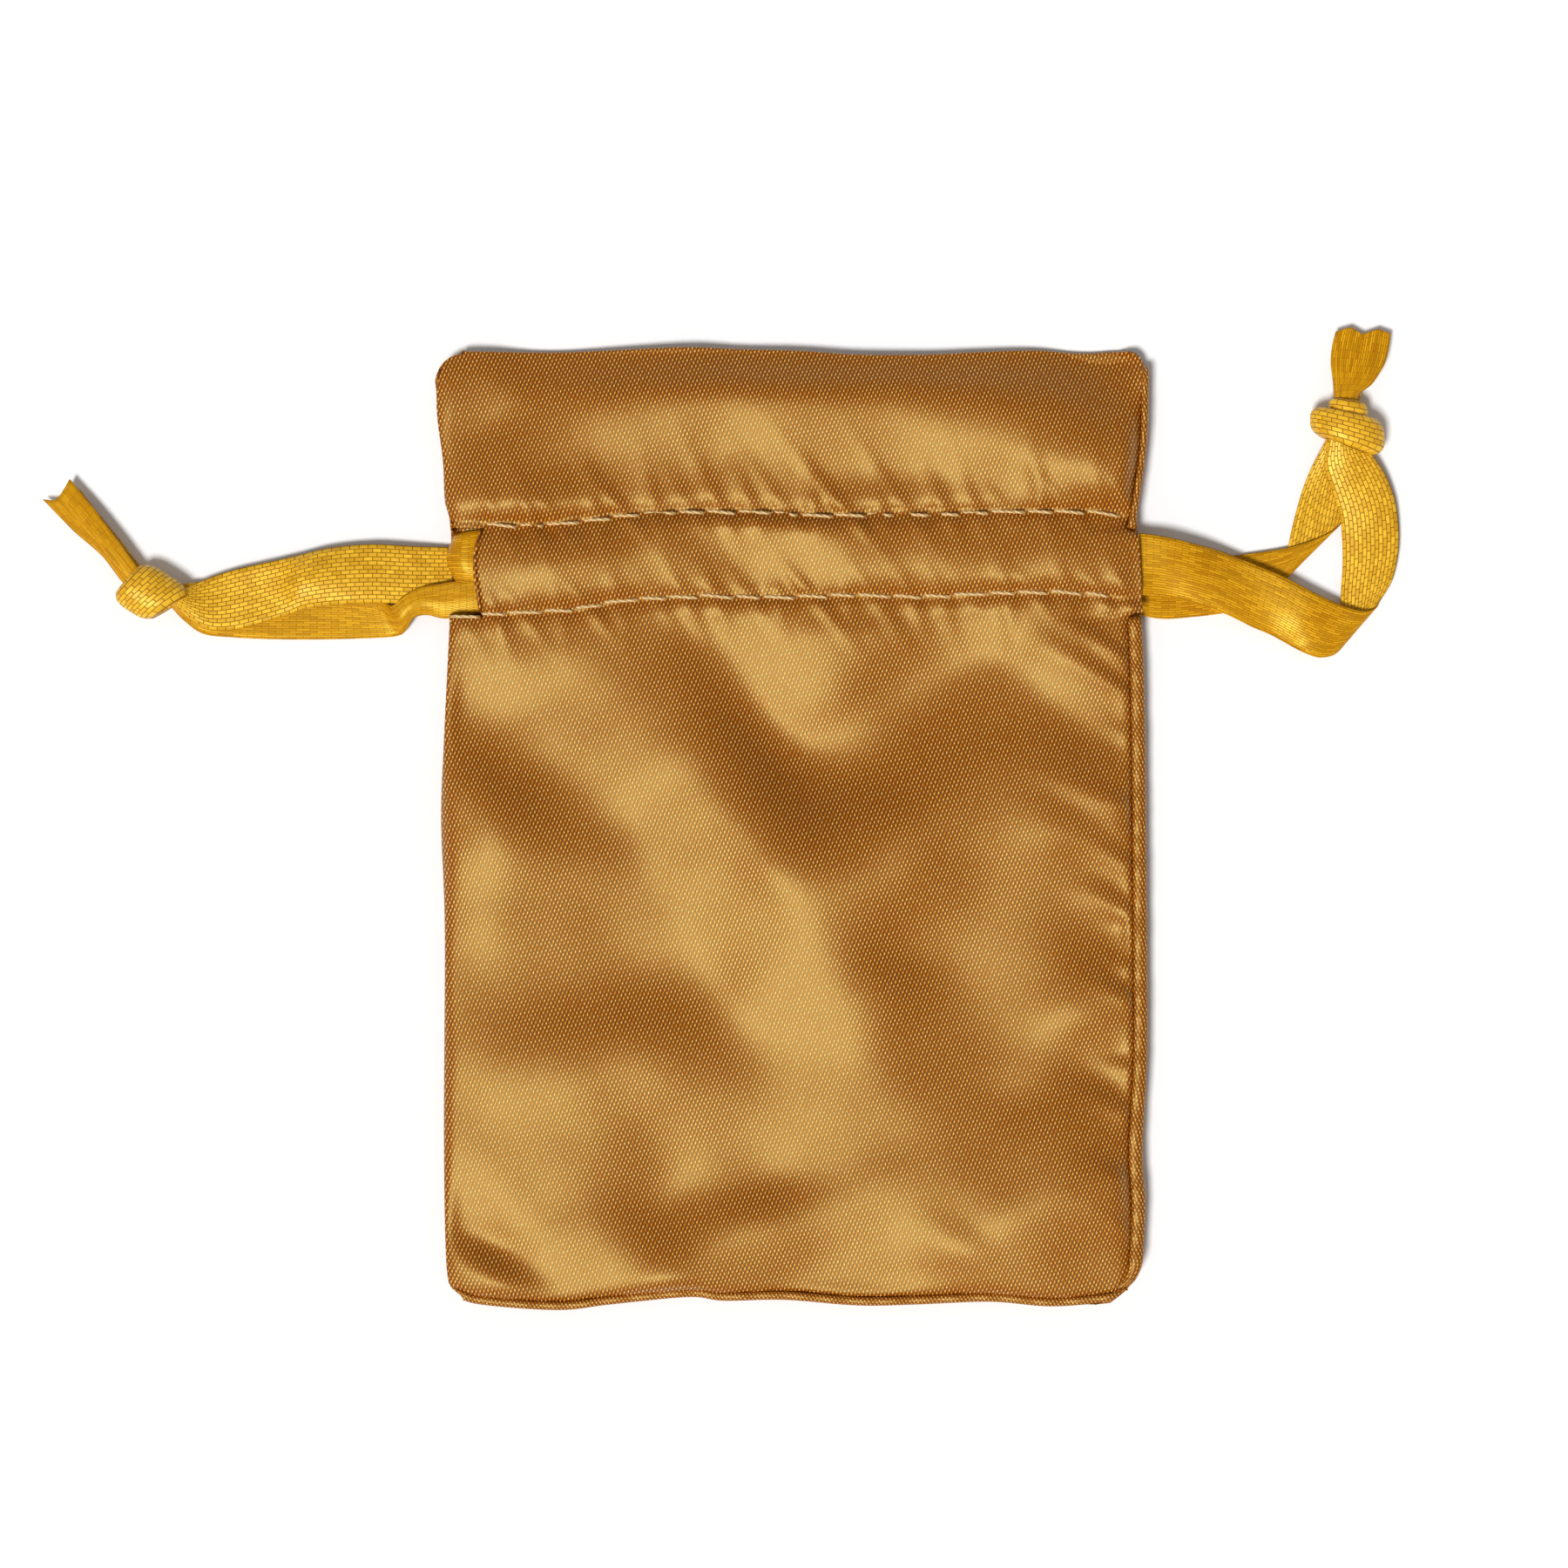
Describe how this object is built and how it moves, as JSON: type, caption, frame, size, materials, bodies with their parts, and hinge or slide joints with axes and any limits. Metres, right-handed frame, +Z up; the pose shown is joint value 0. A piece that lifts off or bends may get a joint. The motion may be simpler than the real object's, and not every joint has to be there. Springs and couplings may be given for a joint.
{
  "type": "drawstring gift sack",
  "caption": "Small satin gift sack lying flat, with a stitched drawstring casing and two ribbon loops that draw its mouth closed from both sides.",
  "frame": {"origin": "middle of the flat sack's underside, on the surface it lies on", "axes": "+X across the sack to its sewn side, +Y along it from the bottom seam to the mouth, +Z up out of the front panel"},
  "size_m": [0.1465, 0.1049, 0.0084],
  "materials": {
    "satin": "antique gold satin weave with a soft diagonal sheen",
    "thread": "pale tan sewing thread",
    "ribbon": "golden yellow satin ribbon"
  },
  "bodies": {
    "sack": {"front_panel": "satin", "back_panel": "satin", "front_facing": "satin", "back_facing": "satin", "side_seam_allowance": "satin", "bottom_seam_allowance": "satin", "left_slit_hem": "satin", "right_slit_hem": "satin", "front_upper_stitching": "thread", "front_lower_stitching": "thread", "back_upper_stitching": "thread", "back_lower_stitching": "thread", "side_seam_stitching": "thread", "bottom_seam_stitching": "thread"},
    "left_drawstring": {"left_ribbon_casing_loop": "ribbon", "left_ribbon_front_strand": "ribbon", "left_ribbon_back_strand": "ribbon", "left_ribbon_knot": "ribbon"},
    "right_drawstring": {"right_ribbon_casing_loop": "ribbon", "right_ribbon_front_strand": "ribbon", "right_ribbon_back_strand": "ribbon", "right_ribbon_knot": "ribbon"}
  },
  "joints": [
    {"name": "left_drawstring_pull", "type": "slide", "parent": "sack", "child": "left_drawstring", "axis": [-1, 0, 0], "range_m": [0, 0.025], "deforming": ["front_facing", "back_facing"]},
    {"name": "right_drawstring_pull", "type": "slide", "parent": "sack", "child": "right_drawstring", "axis": [1, 0, 0], "range_m": [0, 0.025]}
  ],
  "couplings": [
    {"joint": "right_drawstring_pull", "follows": "left_drawstring_pull", "ratio": 1}
  ]
}
